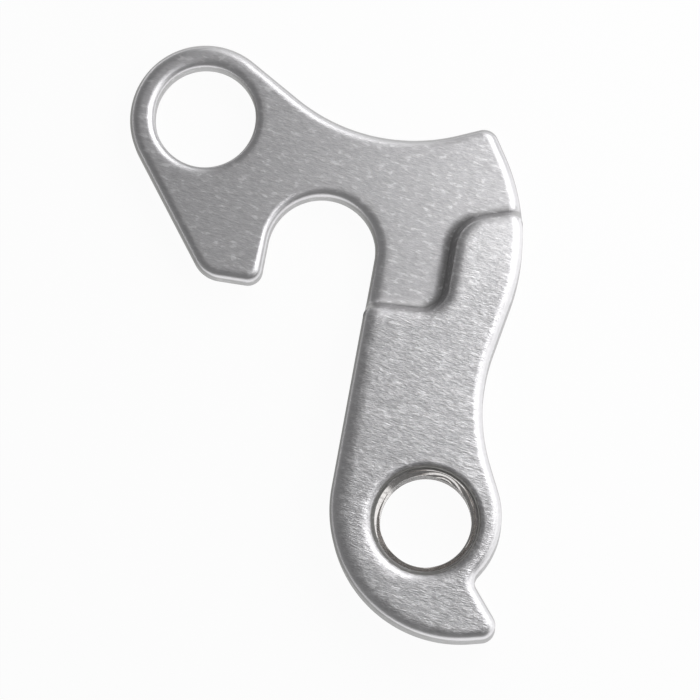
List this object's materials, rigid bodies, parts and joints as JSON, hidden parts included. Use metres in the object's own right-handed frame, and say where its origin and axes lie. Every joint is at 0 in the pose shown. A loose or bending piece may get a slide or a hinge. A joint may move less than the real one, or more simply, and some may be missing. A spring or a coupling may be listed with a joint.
{
  "type": "bicycle derailleur hanger",
  "caption": "Forged aluminium derailleur hanger: a thin drilled plate with an open axle slot, stepped up to a thick arm with a threaded eye and a stop claw.",
  "frame": {"origin": "on the axis of the wheel axle that sits in the slot, in the plane of the flat outer face that the part lies on", "axes": "+Z along the axle towards the wheel, square to the plate; +Y up, from the derailleur thread towards the fixing hole; +X to the rear of the bicycle, on the side of the claw"},
  "size_m": [0.0388, 0.0592, 0.007],
  "materials": {
    "forged_aluminium": "bare, tumbled to a satin sheen"
  },
  "bodies": {
    "root": {"hanger": "forged_aluminium"}
  },
  "joints": []
}
